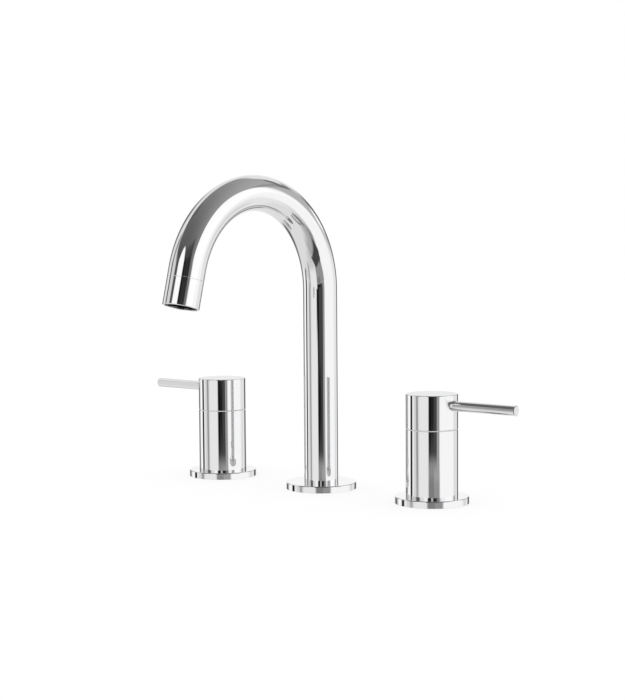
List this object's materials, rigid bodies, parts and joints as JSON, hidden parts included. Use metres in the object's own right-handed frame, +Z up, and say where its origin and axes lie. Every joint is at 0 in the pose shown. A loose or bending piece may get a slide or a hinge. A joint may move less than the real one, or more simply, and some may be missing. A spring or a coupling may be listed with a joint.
{
  "type": "widespread bathroom faucet",
  "caption": "Chrome widespread bathroom faucet: fixed gooseneck spout between hot and cold quarter-turn handles with thin pin levers, with its below-deck valves and tee.",
  "frame": {"origin": "centre of the spout's foot on the top of the deck", "axes": "+Z up, +X along the row towards the right-hand (cold) handle, spout points to -Y"},
  "size_m": [0.3432, 0.1827, 0.3327],
  "materials": {
    "chrome_plate": "polished chrome plate on brass",
    "turned_brass": "turned, bare",
    "cast_brass": "cast and tumbled, bare",
    "stainless_steel": "stainless, drawn",
    "zinc_steel": "zinc plated, stamped",
    "black_rubber": "moulded, matte",
    "black_acetal": "moulded acetal",
    "white_acetal": "moulded acetal",
    "alumina": "lapped ceramic"
  },
  "bodies": {
    "root": {"spout_tube": "chrome_plate", "spout_nose": "chrome_plate", "aerator_housing": "black_acetal", "aerator_core": "black_acetal", "aerator_screen": "stainless_steel", "aerator_washer": "black_rubber", "spout_flange": "chrome_plate", "spout_gasket": "black_rubber", "spout_hub": "turned_brass", "spout_o_rings": "black_rubber", "spout_set_screw": "stainless_steel", "spout_shank": "turned_brass", "spout_rubber_washer": "black_rubber", "spout_steel_washer": "zinc_steel", "spout_locknut": "turned_brass", "spout_tee": "cast_brass", "tee_washer": "black_rubber", "left_flange": "chrome_plate", "left_gasket": "black_rubber", "left_sleeve": "chrome_plate", "left_glide_ring": "white_acetal", "left_valve_body": "cast_brass", "left_bonnet_nut": "turned_brass", "left_cartridge_housing": "turned_brass", "left_housing_o_ring": "black_rubber", "left_seat_seal": "black_rubber", "left_fixed_disc": "alumina", "left_rubber_washer": "black_rubber", "left_steel_washer": "zinc_steel", "left_locknut": "turned_brass", "right_flange": "chrome_plate", "right_gasket": "black_rubber", "right_sleeve": "chrome_plate", "right_glide_ring": "white_acetal", "right_valve_body": "cast_brass", "right_bonnet_nut": "turned_brass", "right_cartridge_housing": "turned_brass", "right_housing_o_ring": "black_rubber", "right_seat_seal": "black_rubber", "right_fixed_disc": "alumina", "right_rubber_washer": "black_rubber", "right_steel_washer": "zinc_steel", "right_locknut": "turned_brass"},
    "left_handle": {"left_handle_hub": "chrome_plate", "left_lever": "chrome_plate", "left_hub_set_screw": "stainless_steel", "left_stem_adapter": "turned_brass", "left_stem": "turned_brass", "left_stem_o_rings": "black_rubber", "left_moving_disc": "alumina"},
    "right_handle": {"right_handle_hub": "chrome_plate", "right_lever": "chrome_plate", "right_hub_set_screw": "stainless_steel", "right_stem_adapter": "turned_brass", "right_stem": "turned_brass", "right_stem_o_rings": "black_rubber", "right_moving_disc": "alumina"}
  },
  "joints": [
    {"name": "left_handle_turn", "type": "hinge", "parent": "root", "child": "left_handle", "pos_m": [-0.1016, 0, 0.0695], "axis": [0, 0, 1], "range_deg": [0, 90]},
    {"name": "right_handle_turn", "type": "hinge", "parent": "root", "child": "right_handle", "pos_m": [0.1016, 0, 0.0695], "axis": [0, 0, -1], "range_deg": [0, 90]}
  ]
}
